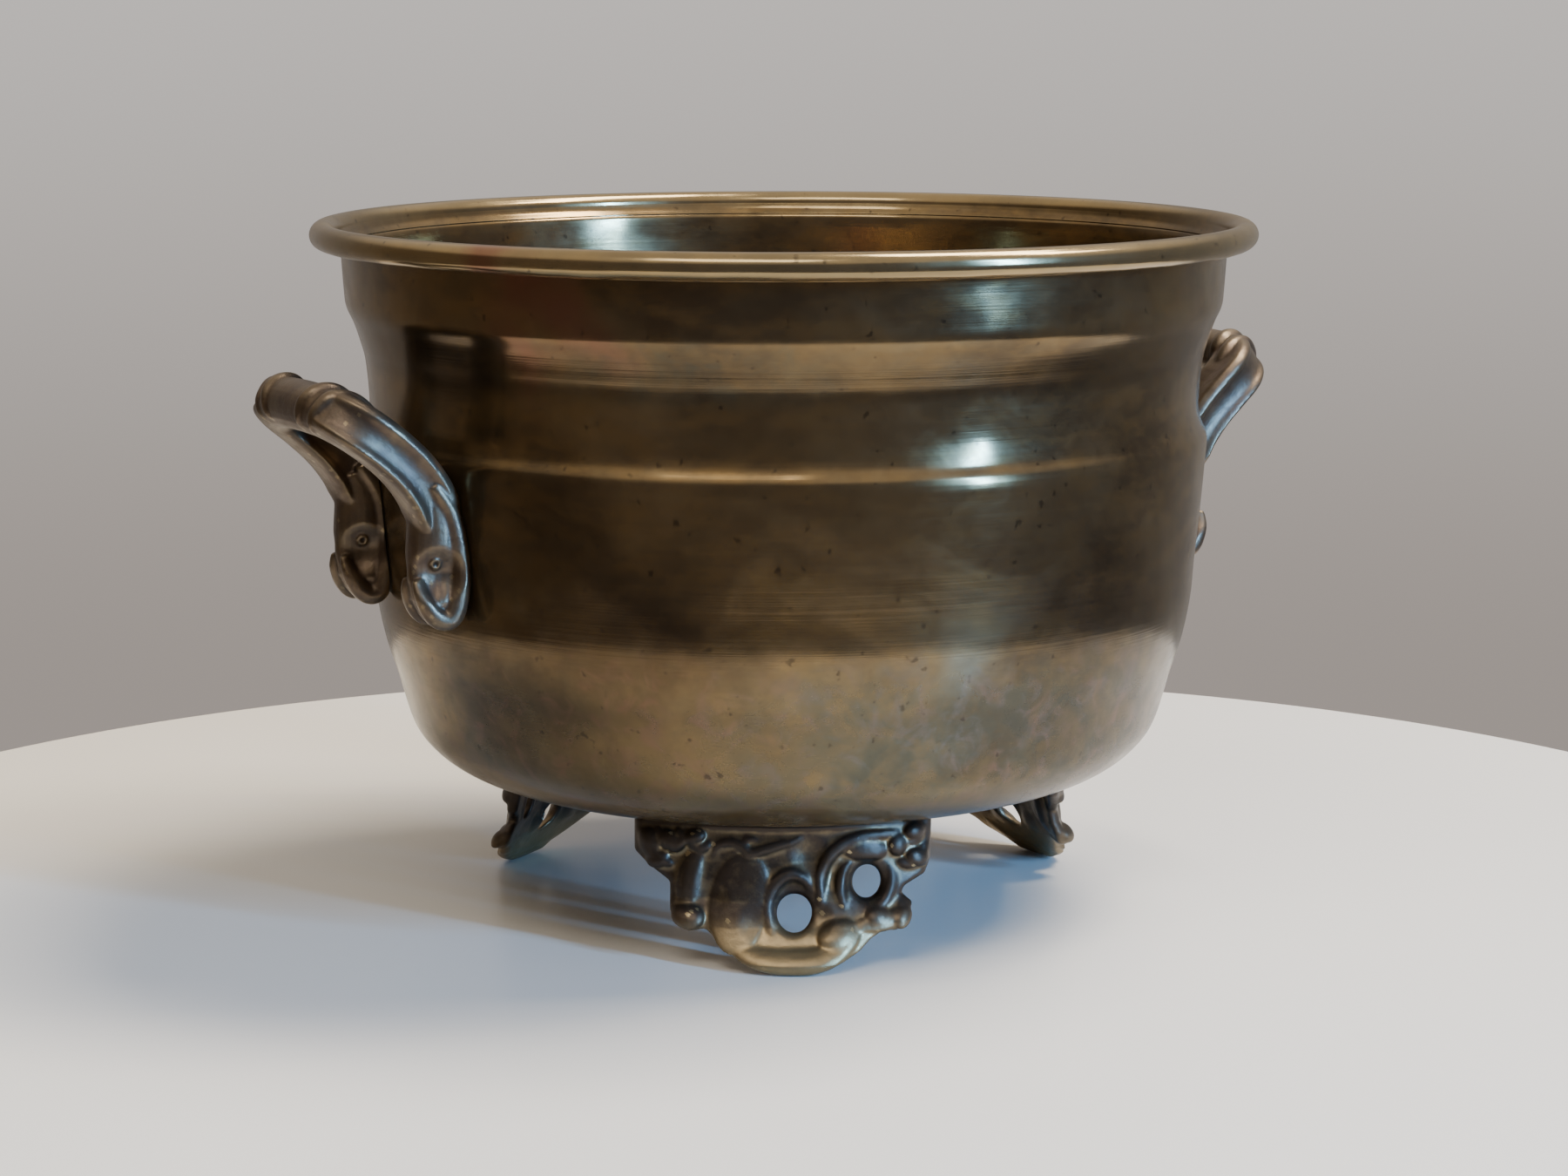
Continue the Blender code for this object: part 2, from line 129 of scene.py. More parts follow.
SCROLL_STRAP = (
    (110.4, 117.6), (106.4, 111.4), (104.4, 104.0), (103.8, 97.0), (104.2, 90.8), (105.8, 86.0),
    (108.4, 85.2), (111.0, 87.4), (112.8, 91.0), (113.6, 95.0),
)
STRAP_RADIUS = 2.7
SCROLL_EYE = (110.4, 98.6)
EYE_RADII = (1.6, 1.3, 1.8)
EYE_SIDE = 6.2
HOLLOW_SIDE = 6.5
SCROLL_HOLLOWS = (
    # out and up from the eye, reach, depth, how far the hollow leans outwards
    (-0.4, -2.4, 7.4, 3.6, 0.4),
    (0.0, 0.0, 1.0, 0.8, 0.4),
)

# Foot, seen from outside and laid flat: (to the right, up)
FOOT_OUTLINE = (
    (-36.4, 34.3), (-36.4, 25.6), (-32.9, 22.6), (-27.6, 19.2), (-27.6, 12.6), (-25.4, 9.3),
    (-23.0, 8.4), (-19.0, 9.2), (-15.0, 6.1), (-10.6, 3.1), (-5.6, 0.4), (1.7, 0.0), (8.3, 0.2),
    (13.9, 2.2), (18.4, 4.6), (20.7, 6.8), (24.1, 8.6), (27.3, 8.2), (29.7, 10.4), (31.2, 14.0),
    (28.4, 16.4), (29.2, 18.0), (34.2, 20.4), (35.6, 23.7), (35.9, 34.3),
)
SCROLL_HOLE = (2.5, 12.9, 4.2, 4.2)
LEAF_HOLE = (19.9, 19.6, 3.4, 3.9)
FOOT_LEAN = (
    (34.3, 70.5), (25.0, 71.5), (16.0, 73.5), (10.0, 76.2), (5.0, 79.6), (2.5, 81.6), (0.0, 82.3),
)
FOOT_COUNT = 3

# Castings: smoothing passes, and how far behind and ahead of its centre a hollow is pressed in
HANDLE_SOFTENING = 8
FOOT_SOFTENING = 20
PRESS_BEHIND = -3.5
PRESS_AHEAD = 4.0

# Heights on the sheet where the patina, the painted shade on the belt and the painted reflection on the
# bottom curve change, and the radius where the roll begins, in metres: (none there, full there)
LOW_WALL = (0.088, 0.066)
BELT_LOWER_EDGE = (0.137, 0.143)
BELT_UPPER_EDGE = (0.156, 0.151)
# Painted reflection of the table: the bottom curve is made lighter ochre.
BOTTOM_CURVE = (0.050, 0.036)
ROLL_START = (0.1120, 0.1135)
# The left and right shade entries are painted shade, the low and middle entries are painted reflection; the
# blooms are stains.
STAINS_AND_PAINTED_LIGHT = {
    # turn in degrees; height and reach in millimetres
    "green bloom": (270, 56, 110),
    "belt bloom": (228, 147, 50),
    "low painted reflection": (219, 54, 52),
    "middle painted reflection": (240, 106, 60),
    "left shade": (209, 76, 60),
    "right shade": (292, 60, 85),
    "copper bloom": (206, 160, 30),
}

# Heights on the feet where the wear and the painted shade under the bowl change, in metres: (none there,
# full there)
TOE_RUB = (0.014, 0.004)
FOOT_SHADE_TOP = (0.044, 0.030)
FOOT_SHADE_TOE = (0.008, 0.018)
FOOT_WEAR = (0.060, 0.036)

# Camera and stage, in metres
CAMERA_PLACE = (-0.46419, -0.80400, 0.23556)
CAMERA_TURN = 240.0
CAMERA_PITCH = 9.51
CAMERA_LENS = 84.05
SENSOR = 36.0
TABLE_RADIUS = 0.300
TABLE_THICKNESS = 0.020
TABLE_GAP = 0.0002
TABLE_EDGE = 0.003
LIGHTS_AIM = (0.0, 0.0, 0.09)
LIGHTS = (
    # name; turn, distance and height; width and length; power; colour; share of it on dull surfaces
    ("ceiling", (350, 0.6, 1.6), (0.6, 0.6), 36.0, (1.0, 0.93, 0.84), 1.0),
    ("lamp", (330, 0.9, 1.3), (0.35, 0.35), 16.0, (1.0, 0.90, 0.76), 1.0),
    ("front fill", (225, 1.0, 1.35), (0.9, 0.5), 9.0, (1.0, 0.96, 0.90), 1.0),
    ("window", (292, 1.7, 0.42), (0.055, 0.95), 78.0, (0.19, 0.48, 1.0), 0.05),
)
ROOM_FRONT = (0.185, 0.145, 0.112)
ROOM_BEHIND = (0.32, 0.29, 0.265)
ROOM_CEILING = (1.0, 0.90, 0.78)
# Painted shade: the backdrop the camera sees is darker low down.
BACKDROP_SHADED_LOW = (0.37, 0.325, 0.295)
BACKDROP_LIT_HIGH = (0.73, 0.69, 0.66)
ROOM_GLOW = 0.32


class PotSizes(bpy.types.PropertyGroup):
    """Sizes and surface unevenness of the pot."""

    turn_steps: IntProperty(name="Turning steps", description="Steps round the bowl", default=360, min=48)
    dents: FloatProperty(name="Dents", description="Depth of the soft dents in the sheet",
                         default=0.00012, unit="LENGTH", subtype="DISTANCE")
    roll_waves: FloatProperty(name="Roll waves", description="How far the rolled edge wanders",
                              default=0.00045, unit="LENGTH", subtype="DISTANCE")
    cast_grain: FloatProperty(name="Casting grain", description="Cell size used to fuse the castings",
                              default=0.00034, unit="LENGTH", subtype="DISTANCE")


class PotColors(bpy.types.PropertyGroup):
    """Colours of the metals, the patina and the stage."""

    brown: FloatVectorProperty(name="Tarnished brass", description="Brown tarnish on the sheet",
                               default=(0.140, 0.093, 0.047), subtype="COLOR")
    cast: FloatVectorProperty(name="Cast brass", description="Dark brown skin of the castings",
                              default=(0.084, 0.056, 0.038), subtype="COLOR")
    gold: FloatVectorProperty(name="Worn brass", description="Brass where it is rubbed",
                              default=(0.36, 0.27, 0.135), subtype="COLOR")
    # Also laid low on the sheet as painted reflection of the table.
    ochre: FloatVectorProperty(name="Ochre tarnish and painted reflection", description="Warm golden brown patches on the sheet",
                               default=(0.235, 0.148, 0.058), subtype="COLOR")
    green: FloatVectorProperty(name="Green bloom", description="Grey green patina low on the wall",
                               default=(0.078, 0.072, 0.046), subtype="COLOR")
    teal: FloatVectorProperty(name="Teal bloom", description="Blue green spots inside the green bloom",
                              default=(0.054, 0.104, 0.090), subtype="COLOR")
    red: FloatVectorProperty(name="Copper bloom", description="Reddish spots in the tarnish",
                             default=(0.20, 0.088, 0.055), subtype="COLOR")
    # Also laid as painted shade: on the sheet's belt and both sides, and on the feet under the bowl.
    soot_and_shade: FloatVectorProperty(name="Dark hollows and painted shade", description="Dirt in the hollows, also painted shade",
                              default=(0.030, 0.022, 0.016), subtype="COLOR")
    iron: FloatVectorProperty(name="Iron wire", description="Wire inside the rolled rim",
                              default=(0.16, 0.15, 0.14), subtype="COLOR")
    table: FloatVectorProperty(name="Table", description="Painted table top",
                               default=(0.89, 0.83, 0.73), subtype="COLOR")
    table_shade: FloatVectorProperty(name="Table shade", description="Faint clouds in the table's paint",
                                     default=(0.72, 0.69, 0.63), subtype="COLOR")


def smooth_curve(points, spans=6, closed=False):
    """A rounded line through the points (Catmull-Rom)."""
    count = len(points)
    points = [Vector(p) for p in points]
    result = []
    for i in range(count if closed else count - 1):
        if closed:
            a, b, c, d = (points[(i + k - 1) % count] for k in range(4))
        else:
            b, c = points[i], points[i + 1]
            a = points[i - 1] if i else b * 2 - c
            d = points[i + 2] if i + 2 < count else c * 2 - b
        for step in range(spans):
            t = step / spans
            result.append(0.5 * (2 * b + (c - a) * t + (2 * a - 5 * b + 4 * c - d) * t * t
                                 + (3 * b - a - 3 * c + d) * t ** 3))
    if not closed:
        result.append(points[-1])
    return result


def between(value, table):
    """Straight-line lookup in a table of (key, value), keys falling."""
    for (high, at_high), (low, at_low) in zip(table, table[1:]):
        if low <= value <= high:
            return at_low + (at_high - at_low) * (value - low) / (high - low)
    return table[0][1] if value > table[0][0] else table[-1][1]


def wall_radius(height):
    """Outer radius of the bowl's wall at a height."""
    return between(height, WALL_BY_HEIGHT)


def round_the_pot(turn, distance, height):
    """A place at a turn in degrees, a distance from the pot's axis and a height."""
    angle = math.radians(turn)
    return (distance * math.cos(angle), distance * math.sin(angle), height)


def new_object(name, mesh, scale=MM):
    mesh.transform(Matrix.Scale(scale, 4))
    item = bpy.data.objects.new(name, mesh)
    bpy.context.scene.collection.objects.link(item)
    return item


def keep(item, node, material):
    """Hands a finished piece to the frame: it rides on the pot and stands for its node."""
    item.data.materials.clear()
    item.data.materials.append(material)
    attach(item, "root")
    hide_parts(node)
    return item


# --- forms -----------------------------------------------------------------------------------------


def add_tube(form, path, sections, radii=None, side=None):
    """Sweeps a section, or one section for each point, along a path and caps both ends."""
    if not isinstance(sections[0][0], (tuple, list, Vector)):
        sections = [sections] * len(path)
    path = [Vector(p) for p in path]
    rings = []
    normal = None
    for i, point in enumerate(path):
        ahead = path[min(i + 1, len(path) - 1)] - path[max(i - 1, 0)]
        ahead.normalize()
        if normal is None:
            start = Vector(side) if side is not None else ahead.orthogonal()
            normal = ahead.cross(start).normalized()
        normal = (normal - ahead * normal.dot(ahead)).normalized()
        across = normal.cross(ahead)
        size = radii[i] if radii else 1.0
        rings.append([form.verts.new(point + (across * a + normal * b) * size) for a, b in sections[i]])
    count = len(sections[0])
    for low, high in zip(rings, rings[1:]):
        for k in range(count):
            n = (k + 1) % count
            form.faces.new((low[k], low[n], high[n], high[k]))
    form.faces.new(rings[0][::-1])
    form.faces.new(rings[-1])


def round_section(radius, steps=12):
    return [(radius * math.cos(2 * math.pi * k / steps), radius * math.sin(2 * math.pi * k / steps))
            for k in range(steps)]


def oval(centre_x, centre_y, half_x, half_y, steps=28):
    """Points of an oval, as a section or as the outline of a hole."""
    return [(centre_x + half_x * math.cos(2 * math.pi * k / steps),
             centre_y + half_y * math.sin(2 * math.pi * k / steps)) for k in range(steps)]


def add_bead(form, path, radius, taper=0.35):
    """A round ridge that thins out towards both ends."""
    path = smooth_curve(path, 5)
    last = len(path) - 1
    radii = [taper + (1 - taper) * math.sin(math.pi * i / last) ** 0.6 for i in range(last + 1)]
    add_tube(form, path, round_section(radius), radii)


def add_lobe(form, centre, radii, turn=0.0, axis="Y"):
    """A soft egg-shaped lump."""
    matrix = Matrix.Translation(centre) @ Matrix.Rotation(math.radians(turn), 4, axis)
    bmesh.ops.create_uvsphere(form, u_segments=20, v_segments=12, radius=1.0,
                              matrix=matrix @ Matrix.Diagonal((*radii, 1.0)))


def add_plate(form, outlines, thickness, rounding, matrix):
    """A flat plate, its thickness centred on the plane; inner outlines are holes."""
    curve = bpy.data.curves.new("plate", "CURVE")
    curve.dimensions = "2D"
    curve.fill_mode = "BOTH"
    curve.extrude = thickness / 2 - rounding
    curve.bevel_depth = rounding
    curve.bevel_resolution = 2
    curve.offset = -rounding
    for outline in outlines:
        spline = curve.splines.new("POLY")
        spline.points.add(len(outline) - 1)
        for point, place in zip(spline.points, outline):
            point.co = (place[0], place[1], 0.0, 1.0)
        spline.use_cyclic_u = True
    source = bpy.data.objects.new("plate", curve)
    bpy.context.scene.collection.objects.link(source)
    mesh = bpy.data.meshes.new_from_object(source.evaluated_get(bpy.context.evaluated_depsgraph_get()))
    mesh.transform(matrix)
    form.from_mesh(mesh)
    bpy.data.objects.remove(source, do_unlink=True)
    bpy.data.meshes.remove(mesh)


def fuse(name, form, cell, passes):
    """Fuses overlapping closed forms into one casting and softens it."""
    bmesh.ops.remove_doubles(form, verts=form.verts, dist=0.001)
    mesh = bpy.data.meshes.new(name)
    form.to_mesh(mesh)
    form.free()
    source = bpy.data.objects.new(name, mesh)
    bpy.context.scene.collection.objects.link(source)
    melt = source.modifiers.new("fuse", "REMESH")
    melt.mode = "VOXEL"
    melt.voxel_size = cell
    melt.use_smooth_shade = True
    soften = source.modifiers.new("soften", "SMOOTH")
    soften.factor = 0.5
    soften.iterations = passes
    result = bpy.data.meshes.new_from_object(source.evaluated_get(bpy.context.evaluated_depsgraph_get()))
    bpy.data.objects.remove(source, do_unlink=True)
    bpy.data.meshes.remove(mesh)
    return result


# --- shader groups ---------------------------------------------------------------------------------


def add_node(tree, kind, links=None, **settings):
    """Adds a node; a link value is either another node's output or a plain value."""
    node = tree.nodes.new(kind)
    for key, value in settings.items():
        setattr(node, key, value)
    for key, value in (links or {}).items():
        socket = node.inputs[key]
        if isinstance(value, bpy.types.NodeSocket):
            tree.links.new(value, socket)
        else:
            socket.default_value = value
    return node


def compute(tree, operation, first, second, clamp=False):
    return add_node(tree, "ShaderNodeMath", {0: first, 1: second}, operation=operation,
                    use_clamp=clamp).outputs[0]


def times(tree, first, second):
    return compute(tree, "MULTIPLY", first, second)


def plus(tree, first, second):
    return compute(tree, "ADD", first, second)


def minus(tree, first, second):
    return compute(tree, "SUBTRACT", first, second)


def larger(tree, first, second):
    return compute(tree, "MAXIMUM", first, second)


def vector_math(tree, operation, first, second=(0.0, 0.0, 0.0)):
    return add_node(tree, "ShaderNodeVectorMath", {0: first, 1: second}, operation=operation).outputs


def own_place(tree):
    """Where a point of the piece lies, in the pot's own metres."""
    return add_node(tree, "ShaderNodeTexCoord").outputs["Object"]


def own_height(tree):
    return add_node(tree, "ShaderNodeSeparateXYZ", {0: own_place(tree)}).outputs["Z"]


def own_radius(tree):
    """How far a point of the piece lies from the pot's axis, in metres."""
    flat = vector_math(tree, "MULTIPLY", own_place(tree), (1.0, 1.0, 0.0))
    return vector_math(tree, "LENGTH", flat[0])["Value"]


def spread(tree, value, low, high, to_low=0.0, to_high=1.0):
    """Remaps a value softly from low..high."""
    return add_node(tree, "ShaderNodeMapRange",
                    {"Value": value, "From Min": low, "From Max": high, "To Min": to_low,
                     "To Max": to_high}, interpolation_type="SMOOTHSTEP").outputs["Result"]


def blend_color(tree, mask, first, second):
    """The first colour where the mask is 0, the second where it is 1."""
    mix = tree.nodes.new("ShaderNodeMix")
    mix.data_type = "RGBA"
    mix.clamp_factor = True
    for index, value in ((0, mask), (6, first), (7, second)):
        if isinstance(value, bpy.types.NodeSocket):
            tree.links.new(value, mix.inputs[index])
        elif index == 0:
            mix.inputs[index].default_value = value
        else:
            mix.inputs[index].default_value = (*value, 1.0)
    return mix.outputs[2]


def cloud(tree, vector, scale, detail=4.0, roughness=0.55, distortion=0.0):
    """Soft noise between 0 and 1."""
    return add_node(tree, "ShaderNodeTexNoise",
                    {"Vector": vector, "Scale": scale, "Detail": detail, "Roughness": roughness,
                     "Distortion": distortion}).outputs["Fac"]


def new_group(name, inputs, outputs):
    """An empty node group with named sockets: inputs are (name, default), outputs are names."""
    tree = bpy.data.node_groups.new(name, "ShaderNodeTree")
    for label, default in inputs:
        kind = "NodeSocketVector" if isinstance(default, tuple) else "NodeSocketFloat"
        socket = tree.interface.new_socket(label, in_out="INPUT", socket_type=kind)
        socket.default_value = default
    for label in outputs:
        tree.interface.new_socket(label, in_out="OUTPUT", socket_type="NodeSocketFloat")
    start = tree.nodes.new("NodeGroupInput")
    end = tree.nodes.new("NodeGroupOutput")
    return tree, start, end


def spin_marks_group():
    """Fine lines left by the spinning tool, running round the pot on wall and floor alike."""
    tree, start, end = new_group("spin marks", (("Lines", 900.0), ("Drift", 9.0)), ("Marks",))
    place = own_place(tree)
    split = add_node(tree, "ShaderNodeSeparateXYZ", {0: place})
    along = plus(tree, split.outputs["Z"], own_radius(tree))
    lines = add_node(tree, "ShaderNodeCombineXYZ", {
        "X": times(tree, split.outputs["X"], start.outputs["Drift"]),
        "Y": times(tree, split.outputs["Y"], start.outputs["Drift"]),
        "Z": times(tree, along, start.outputs["Lines"]),
    })
    tree.links.new(cloud(tree, lines.outputs[0], 1.0, 3.0, 0.7), end.inputs["Marks"])
    return tree


def tarnish_group():
    """Uneven tarnish: broad tone, soft bloom patches and small dark specks."""
    tree, start, end = new_group("tarnish", (("Size", 30.0), ("Speck size", 420.0)),
                                 ("Tone", "Bloom", "Specks", "Smears"))
    place = own_place(tree)
    tone = cloud(tree, place, start.outputs["Size"], 6.0, 0.62, 0.6)
    tree.links.new(spread(tree, tone, 0.34, 0.68), end.inputs["Tone"])
    shifted = vector_math(tree, "ADD", place, (0.37, 0.11, 0.23))
    bloom = cloud(tree, shifted[0], start.outputs["Size"], 5.0, 0.6, 1.2)
    tree.links.new(spread(tree, bloom, 0.47, 0.70), end.inputs["Bloom"])
    specks = cloud(tree, place, start.outputs["Speck size"], 2.0, 0.5)
    tree.links.new(spread(tree, specks, 0.66, 0.76), end.inputs["Specks"])
    stretch = vector_math(tree, "MULTIPLY", place, (1.0, 1.0, 1.7))
    smears = cloud(tree, stretch[0], start.outputs["Size"], 6.0, 0.62, 0.8)
    tree.links.new(spread(tree, smears, 0.38, 0.64), end.inputs["Smears"])
    return tree


def wear_group():
    """Rubbed high spots and dirty hollows, from how sharply the surface curves."""
    tree, start, end = new_group("edge wear", (("Reach", 0.06), ("Breakup", 160.0)), ("Worn", "Hollow"))
    curve = add_node(tree, "ShaderNodeNewGeometry").outputs["Pointiness"]
    breakup = cloud(tree, own_place(tree), start.outputs["Breakup"], 4.0, 0.6)
    shifted = plus(tree, curve, times(tree, minus(tree, breakup, 0.5), 0.05))
    rise = minus(tree, shifted, 0.5)
    worn = compute(tree, "DIVIDE", rise, start.outputs["Reach"], clamp=True)
    hollow = compute(tree, "DIVIDE", times(tree, rise, -1.0), start.outputs["Reach"], clamp=True)
    tree.links.new(worn, end.inputs["Worn"])
    tree.links.new(hollow, end.inputs["Hollow"])
    return tree


def stain_and_painted_light_group():
    """A soft round patch about a place on the pot, its edge pushed about by a cloud; it makes the stains
    and also the painted shade and painted reflection patches.
    """
    tree, start, end = new_group("stain_and_painted_light", (("Centre", (0.0, 0.0, 0.0)), ("Reach", 0.05)), ("Stain and painted light",))
    place = own_place(tree)
    wobble = add_node(tree, "ShaderNodeTexNoise", {"Vector": place, "Scale": 28.0, "Detail": 4.0})
    centred = vector_math(tree, "SUBTRACT", wobble.outputs["Color"], (0.5, 0.5, 0.5))
    shift = vector_math(tree, "MULTIPLY", centred[0], (0.09, 0.09, 0.09))
    moved = vector_math(tree, "ADD", place, shift[0])
    away = vector_math(tree, "DISTANCE", moved[0], start.outputs["Centre"])["Value"]
    full = times(tree, start.outputs["Reach"], 0.25)
    tree.links.new(spread(tree, away, start.outputs["Reach"], full), end.inputs["Stain and painted light"])
    return tree


def place_group(tree, name, build, **values):
    """Puts a shared group into a tree and sets its inputs; it is built the first time it is asked for."""
    node = tree.nodes.new("ShaderNodeGroup")
    node.node_tree = bpy.data.node_groups.get(name) or build()
    for key, value in values.items():
        node.inputs[key.replace("_", " ")].default_value = value
    return node


def stain_and_painted_light(tree, name, strength):
    """One patch of the wall, as a mask: a stain, a painted shade or a painted reflection."""
    turn, height, reach = STAINS_AND_PAINTED_LIGHT[name]
    centre = round_the_pot(turn, wall_radius(height) * MM, height * MM)
    group = place_group(tree, "stain_and_painted_light", stain_and_painted_light_group, Centre=centre, Reach=reach * MM)
    return times(tree, group.outputs["Stain and painted light"], strength)


def new_material(name):
    material = bpy.data.materials.new(name)
    material.use_nodes = True
    tree = material.node_tree
    return material, tree, tree.nodes["Principled BSDF"]


def sheet_ground(tree, colors, tarnish, fine, marks):
    """The sheet's brown ground: worn through in places, dull in others, mottled along the spin lines."""
    place = own_place(tree)
    tone = plus(tree, times(tree, tarnish.outputs["Tone"], 0.20), times(tree, fine.outputs["Smears"], 0.14))
    tone = plus(tree, tone, times(tree, marks.outputs["Marks"], 0.06))
    color = blend_color(tree, tone, colors.brown, colors.gold)
    dull = spread(tree, cloud(tree, place, 22.0, 5.0, 0.6), 0.40, 0.62)
    color = blend_color(tree, times(tree, dull, 0.45), color, colors.soot_and_shade)
    drawn = vector_math(tree, "MULTIPLY", place, (1.0, 1.0, 2.6))
    mottle = spread(tree, cloud(tree, drawn[0], 75.0, 6.0, 0.65), 0.42, 0.66)
    return blend_color(tree, times(tree, mottle, 0.50), color, colors.ochre)


def sheet_bloom(tree, colors, color, tarnish, fine):
    """Patina laid over the ground in its own places, with painted shade on the belt and on both sides and
    painted reflection low down; gives the colour and the green bloom's mask.
    """
    height = own_height(tree)
    low_down = spread(tree, height, *LOW_WALL)
    green = times(tree, times(tree, low_down, tarnish.outputs["Bloom"]), 0.75)
    broad = times(tree, stain_and_painted_light(tree, "green bloom", 1.0), low_down)
    green = larger(tree, green, larger(tree, broad, times(tree, low_down, 0.60)))
    belt = times(tree, spread(tree, height, *BELT_LOWER_EDGE), spread(tree, height, *BELT_UPPER_EDGE))
    green = larger(tree, green, times(tree, belt, stain_and_painted_light(tree, "belt bloom", 0.35)))
    green = times(tree, green, spread(tree, fine.outputs["Tone"], -0.3, 1.2, 0.45, 1.0))
    color = blend_color(tree, green, color, colors.green)
    teal = times(tree, fine.outputs["Bloom"], times(tree, green, 0.9))
    color = blend_color(tree, teal, color, colors.teal)
    # Painted shade: the belt under the neck faces downwards and is darkened here.
    color = blend_color(tree, times(tree, belt, 0.45), color, colors.soot_and_shade)
    # Painted reflection: lighter ochre low on the wall and on the bottom curve where it reflects the table,
    # and mid-wall facing the camera.
    rub_and_painted_reflection = larger(tree, stain_and_painted_light(tree, "low painted reflection", 0.55), stain_and_painted_light(tree, "middle painted reflection", 0.28))
    rub_and_painted_reflection = larger(tree, rub_and_painted_reflection, spread(tree, height, *BOTTOM_CURVE, 0.0, 0.45))
    color = blend_color(tree, rub_and_painted_reflection, color, colors.ochre)
    # Painted shade: dark patches on the wall's left and right sides.
    shade = larger(tree, stain_and_painted_light(tree, "left shade", 0.60), stain_and_painted_light(tree, "right shade", 0.45))
    color = blend_color(tree, shade, color, colors.soot_and_shade)
    color = blend_color(tree, spread(tree, own_radius(tree), *ROLL_START, 0.0, 0.40), color, colors.gold)
    spots = times(tree, fine.outputs["Bloom"], times(tree, low_down, 0.35))
    copper = larger(tree, stain_and_painted_light(tree, "copper bloom", 0.80), spots)
    return blend_color(tree, copper, color, colors.red), green


def sheet_brass(colors):
    """Spun sheet: brown tarnish, green patches low down, lighter golden patches low down that are painted
    reflection, painted shade on the belt and both sides, spin lines and dents.
    """
    material, tree, shader = new_material("aged sheet brass")
    tarnish = place_group(tree, "tarnish", tarnish_group, Size=26.0, Speck_size=380.0)
    fine = place_group(tree, "tarnish", tarnish_group, Size=120.0, Speck_size=900.0)
    marks = place_group(tree, "spin marks", spin_marks_group)
    wear = place_group(tree, "edge wear", wear_group, Reach=0.05)

    color = sheet_ground(tree, colors, tarnish, fine, marks)
    color, green = sheet_bloom(tree, colors, color, tarnish, fine)
    color = blend_color(tree, times(tree, tarnish.outputs["Specks"], 0.60), color, colors.soot_and_shade)
    color = blend_color(tree, times(tree, wear.outputs["Worn"], 0.20), color, colors.gold)
    tree.links.new(color, shader.inputs["Base Color"])

    rough = plus(tree, 0.12, times(tree, tarnish.outputs["Smears"], 0.08))
    rough = plus(tree, rough, times(tree, green, 0.09))
    rough = plus(tree, rough, times(tree, marks.outputs["Marks"], 0.06))
    tree.links.new(rough, shader.inputs["Roughness"])
    metallic = minus(tree, 0.90, times(tree, green, 0.30))
    tree.links.new(metallic, shader.inputs["Metallic"])
    shader.inputs["Specular IOR Level"].default_value = 0.10

    dents = add_node(tree, "ShaderNodeBump", {"Height": cloud(tree, own_place(tree), 34.0, 2.0),
                                              "Strength": 0.10, "Distance": 0.004})
    lines = add_node(tree, "ShaderNodeBump", {"Height": marks.outputs["Marks"], "Strength": 0.07,
                                              "Distance": 0.0003, "Normal": dents.outputs["Normal"]})
    tree.links.new(lines.outputs["Normal"], shader.inputs["Normal"])
    return material


def cast_brass(colors):
    """Cast brass: dark in the hollows, golden where hands and the table rub it, slightly pitted; painted
    shade darkens the feet under the bowl.
    """
    material, tree, shader = new_material("aged cast brass")
    tarnish = place_group(tree, "tarnish", tarnish_group, Size=90.0, Speck_size=1100.0)
    wear = place_group(tree, "edge wear", wear_group, Reach=0.055, Breakup=260.0)
    height = own_height(tree)
    rub_and_painted_reflection = spread(tree, height, *TOE_RUB)
    tone = times(tree, tarnish.outputs["Tone"], 0.12)
    tone = plus(tree, tone, times(tree, rub_and_painted_reflection, 0.70))
    color = blend_color(tree, tone, colors.cast, colors.gold)
    color = blend_color(tree, times(tree, tarnish.outputs["Bloom"], 0.25), color, colors.green)
    # Painted shade: the feet are darkened under the bowl, between toe and top.
    shaded = times(tree, spread(tree, height, *FOOT_SHADE_TOP), spread(tree, height, *FOOT_SHADE_TOE))
    color = blend_color(tree, times(tree, shaded, 0.78), color, colors.soot_and_shade)
    color = blend_color(tree, times(tree, wear.outputs["Hollow"], 0.85), color, colors.soot_and_shade)
    worn = times(tree, wear.outputs["Worn"], spread(tree, height, *FOOT_WEAR, 0.32, 0.75))
    color = blend_color(tree, worn, color, colors.gold)
    color = blend_color(tree, times(tree, rub_and_painted_reflection, 0.45), color, colors.ochre)
    tree.links.new(color, shader.inputs["Base Color"])
    rough = plus(tree, 0.36, times(tree, wear.outputs["Hollow"], 0.20))
    rough = minus(tree, rough, times(tree, wear.outputs["Worn"], 0.08))
    rough = plus(tree, rough, times(tree, tarnish.outputs["Smears"], 0.08))
    tree.links.new(rough, shader.inputs["Roughness"])
    shader.inputs["Metallic"].default_value = 0.80
    skin = add_node(tree, "ShaderNodeBump", {"Height": cloud(tree, own_place(tree), 420.0, 5.0, 0.6),
                                             "Strength": 0.22, "Distance": 0.0006})
    tree.links.new(skin.outputs["Normal"], shader.inputs["Normal"])
    return material


